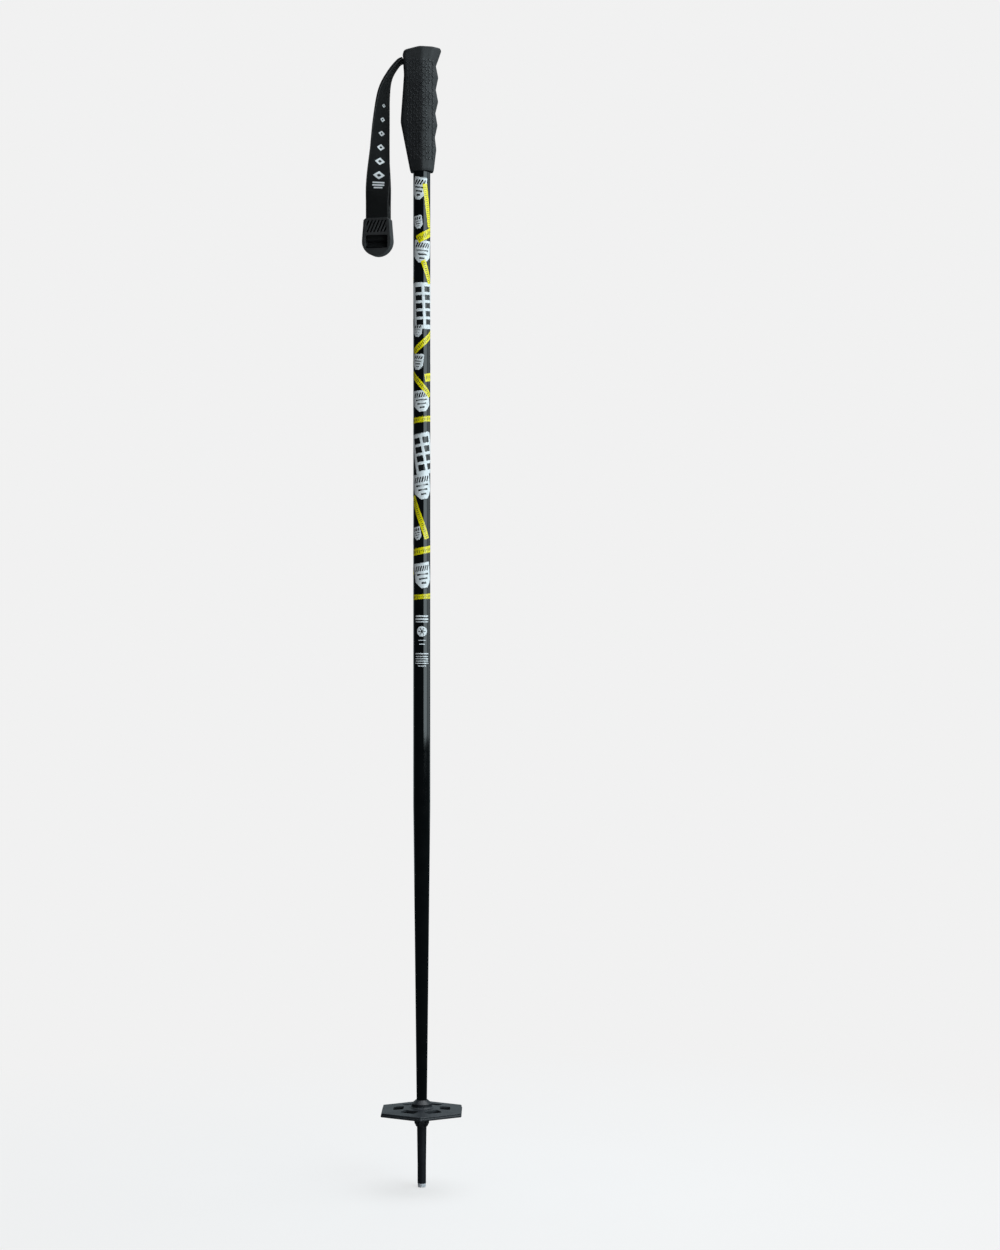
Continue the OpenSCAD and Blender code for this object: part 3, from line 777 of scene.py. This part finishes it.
KNURL_PITCH = 3.3
KNURL_FROM = (-14.6, 1083)  # x and height of the first bar
KNURL_COLUMNS, KNURL_ROWS = 9, 32
BAR_REACH = 1.2
BAR_FOOT = (1.75, 0.85, -0.15)  # half-length, half-width and height of a bar's foot
BAR_HEIGHT_FRONT, BAR_HEIGHT_BACK = 0.7, 0.3


def knurl(body):
    """Small raised bars on the side faces of the grip, leaning left and right by turns."""
    vertices = [v.co.copy() for v in body.data.vertices]
    tree = BVHTree.FromPolygons(vertices, [tuple(f.vertices) for f in body.data.polygons])
    points, faces = [], []
    for side in (-1, 1):
        for row in range(KNURL_ROWS):
            for column in range(KNURL_COLUMNS):
                x = KNURL_FROM[0] + column * KNURL_PITCH
                z = KNURL_FROM[1] + row * KNURL_PITCH
                # the middle of the bar and its two ends all have to lie on one face
                probes = [
                    tree.ray_cast(Vector((x + step, side * 30, z)) * MM, Vector((0, -side, 0)))[:2]
                    for step in (0, -BAR_REACH, BAR_REACH)
                ]
                if any(hit is None for hit, _ in probes):
                    continue
                hit, normal = probes[0]
                bend = min(normal.dot(other) for _, other in probes[1:])
                if bend < 0.97 or abs(normal.y) < 0.3 or abs(normal.z) > 0.35:
                    continue
                lean = 45 if (row + column) % 2 else -45
                height = BAR_HEIGHT_FRONT if x > 0 else BAR_HEIGHT_BACK
                add_bar(points, faces, hit / MM, normal, lean, height)
    # The bars get a lighter tone than the grip skin: a painted highlight on the raised relief.
    wear_and_highlight = moulded("knurl_elastomer", (0.016, 0.016, 0.018), (0.026, 0.026, 0.028), 0.42, 2600.0, 0.05)
    pads = add_piece("grip_knurl", points, faces, wear_and_highlight, smooth=False)
    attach(pads, "pole")


def add_bar(points, faces, centre, normal, lean, height):
    """One raised bar with sloping sides, standing on a face with this normal."""
    up = Vector((0, 0, 1))
    across = up.cross(normal).normalized()
    up = normal.cross(across)
    a = math.radians(lean)
    along, aside = across * math.cos(a) + up * math.sin(a), up * math.cos(a) - across * math.sin(a)
    first = len(points)
    for length, width, lift in (BAR_FOOT, (1.4, 0.42, height)):
        for u, v in ((-1, -1), (1, -1), (1, 1), (-1, 1)):
            points.append(centre + along * u * length + aside * v * width + normal * lift)
    faces += [(first + i, first + (i + 1) % 4, first + 4 + (i + 1) % 4, first + 4 + i) for i in range(4)]
    faces.append(tuple(first + 4 + i for i in range(4)))


PIN_X = -12.8
PIN_DROP = 11.0


def anchor_fold():
    """The fold of the webbing round the cross pin, inside the grip."""
    place = Matrix.Translation((PIN_X, 0, POLE_LENGTH - PIN_DROP)) @ Matrix.Rotation(math.radians(90), 4, "Z")
    radius, leave, ply = 2.4, 3.5, WEB_THICK / 2 + PLY_GAP
    shoulder = (leave * 0.55, radius * 0.76)
    path = [(leave, ply), shoulder, *((-y, z) for y, z in arc(0, 0, radius, 95, -95))]
    path += [(shoulder[0], -shoulder[1]), (leave, -ply)]
    fold = webbing("strap_anchor_cloth", flat_frames(path, place), cloth)
    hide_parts("strap_anchor_fold")
    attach(fold, "pole")


def strap():
    # the front and back runs of the strap, and the marks printed on the front run
    fronts = run_frames(1, FRONT_END_DROP)
    front = webbing("strap_front", fronts, cloth)
    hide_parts("strap_front_run")
    back = webbing("strap_back", run_frames(-1, BACK_END_DROP), cloth)
    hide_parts("strap_back_run")
    marks = strap_marks(fronts, print_ink("strap_ink", (0.6, 0.61, 0.62), (0.34, 0.34, 0.35), 1500.0))
    for piece in (front, back, *marks):
        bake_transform(piece)


MARK_FIRST, MARK_PITCH, MARK_COUNT = 59.7, 14.7, 6
MARK_SMALL, MARK_LARGE = (6.2, 4.2), (13.0, 8.8)
MARK_MIDDLE = 0.6  # the marks stand this far off the middle of the webbing
INK_LIFT, CENTRE_LIFT = 0.05, 0.08


def strap_marks(frames, ink):
    """Plain lozenges that grow down the strap, and three bars below them. Places are drops below the top."""
    drops = [POLE_LENGTH - f[1].z for f in frames]

    def on_strap(u, v, lift):
        i = int(clamp(np.searchsorted(drops, v), 1, len(frames) - 1))
        f = (v - drops[i - 1]) / (drops[i] - drops[i - 1])
        a, b = frames[i - 1], frames[i]
        point, width, normal = a[1].lerp(b[1], f), a[2].lerp(b[2], f), a[3].lerp(b[3], f)
        return point + width * u + normal * (WEB_THICK / 2 + lift)

    light, dark = Print(on_strap), Print(on_strap)
    for i in range(MARK_COUNT):
        w, h = (mix(small, large, i / (MARK_COUNT - 1)) for small, large in zip(MARK_SMALL, MARK_LARGE))
        centre = (MARK_MIDDLE, MARK_FIRST + i * MARK_PITCH)
        light.add(turned(lozenge(w, h), 0, centre), INK_LIFT)
        dark.add(turned(lozenge(w * 0.42, h * 0.42), 0, centre), CENTRE_LIFT)
    bars_from = MARK_FIRST + MARK_COUNT * MARK_PITCH - 7.0
    for i, w in enumerate((12.5, 12.5, 9)):
        light.add(turned(rectangle(w, 1.5), 0, (MARK_MIDDLE, bars_from + i * 2.7)), INK_LIFT)
    pieces = [light.piece("strap_marks", ink), dark.piece("strap_mark_centres", cloth_ink)]
    return pieces


# The webbing in the buckle, in the buckle's own frame: y to the back, z up
BAR_Y = 2.5
BAR_TURN_R = 2.0
FIXED_BAR_Z, LADDER_LOW, LADDER_HIGH = -9.4, -1.9, 0.9
TAIL_Y = BAR_Y + BAR_TURN_R
TAIL_TOP, TAIL_HEM = 32.0, 10.0
HEM_Y = TAIL_Y + WEB_THICK + 0.35
HEM_TOP, HEM_BEND = 12.0, LADDER_LOW - 0.8


def tail_path():
    """Over the ladder bar, up behind it, and hemmed at the end."""
    fold_r = WEB_THICK / 2 + 0.1
    return (
        arc(BAR_Y, LADDER_HIGH, BAR_TURN_R, 120, 180)
        + arc(BAR_Y, LADDER_LOW, BAR_TURN_R, 180, 360)
        + [(TAIL_Y, TAIL_TOP / 2)]
        + arc(TAIL_Y - fold_r, TAIL_TOP, fold_r, 0, 180)
        + [(TAIL_Y - 2 * fold_r, TAIL_TOP - TAIL_HEM)]
    )


def end_loop_path():
    """Down behind the tail and round the fixed bar."""
    above = [(HEM_Y, HEM_TOP), (HEM_Y, HEM_BEND), (HEM_Y - 0.5, HEM_BEND - 1.2)]
    return above + arc(BAR_Y, FIXED_BAR_Z, BAR_TURN_R, 130, 310) + [(HEM_Y - 0.15, FIXED_BAR_Z + 0.4)]


def buckle():
    turn = Matrix.Rotation(-math.radians(BUCKLE_TURN), 4, "Z")
    place = Matrix.Translation((ROUTE[-1][0], 0, POLE_LENGTH - BUCKLE_DROP)) @ turn
    for name, path, node in (
        ("strap_tail_cloth", tail_path(), "strap_tail"),
        ("strap_end_cloth", end_loop_path(), "strap_end_loop"),
    ):
        piece = webbing(name, flat_frames(path, place), cloth)
        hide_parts(node)
        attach(piece, "buckle")
    acetal = moulded("buckle_acetal", (0.024, 0.024, 0.0245), (0.034, 0.034, 0.0345), 0.46, 3000.0, 0.03)
    thread = moulded("hem_thread", (0.03, 0.03, 0.03), (0.06, 0.06, 0.06), 0.7, 4000.0, 0.03)
    for node, name, voxel, material, slot in (
        ("buckle_frame", "buckle_body", 0.3, acetal, "buckle_plastic"),
        ("tail_stitches", "hem_stitches", 0.08, thread, "webbing"),
    ):
        piece = rounded_copy(node, name, voxel, 3)
        paint(piece, material)
        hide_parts(node)
        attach(piece, "buckle")


def carried_over():
    """CAD nodes that keep their shape and get a finished surface."""
    steel = plated_steel("crown_steel")
    paint(nodes["tip_crown"], steel)
    paint(nodes["strap_pin"], steel)
    paint(nodes["shaft_tube"], lacquer("tube_lacquer", (0.0015, 0.002, 0.0022), (0.003, 0.0035, 0.0038)))
    # node, material, dark and light tone, roughness, grain, depth of the grain, softened edge
    for node, name, dark, light, rough, grain, depth, edge in (
        ("tip_body", "tip_nylon", (0.008, 0.009, 0.012), (0.013, 0.014, 0.018), 0.36, 1800, 0.03, 0.3),
        ("basket", "basket_plastic", (0.017, 0.0195, 0.024), (0.0255, 0.029, 0.034), 0.42, 1500, 0.04, 0.35),
        ("grip_core", "core_plastic", (0.03, 0.03, 0.032), (0.05, 0.05, 0.052), 0.5, 1500, 0.03, 0.0),
        ("top_plug", "plug_plastic", (0.02, 0.02, 0.022), (0.03, 0.03, 0.032), 0.4, 1500, 0.03, 0.3),
    ):
        paint(nodes[node], moulded(name, dark, light, rough, grain, depth, round_edges=edge))


add_camera()
add_studio()
carried_over()
tube_print()
grip()
anchor_fold()
strap()
buckle()
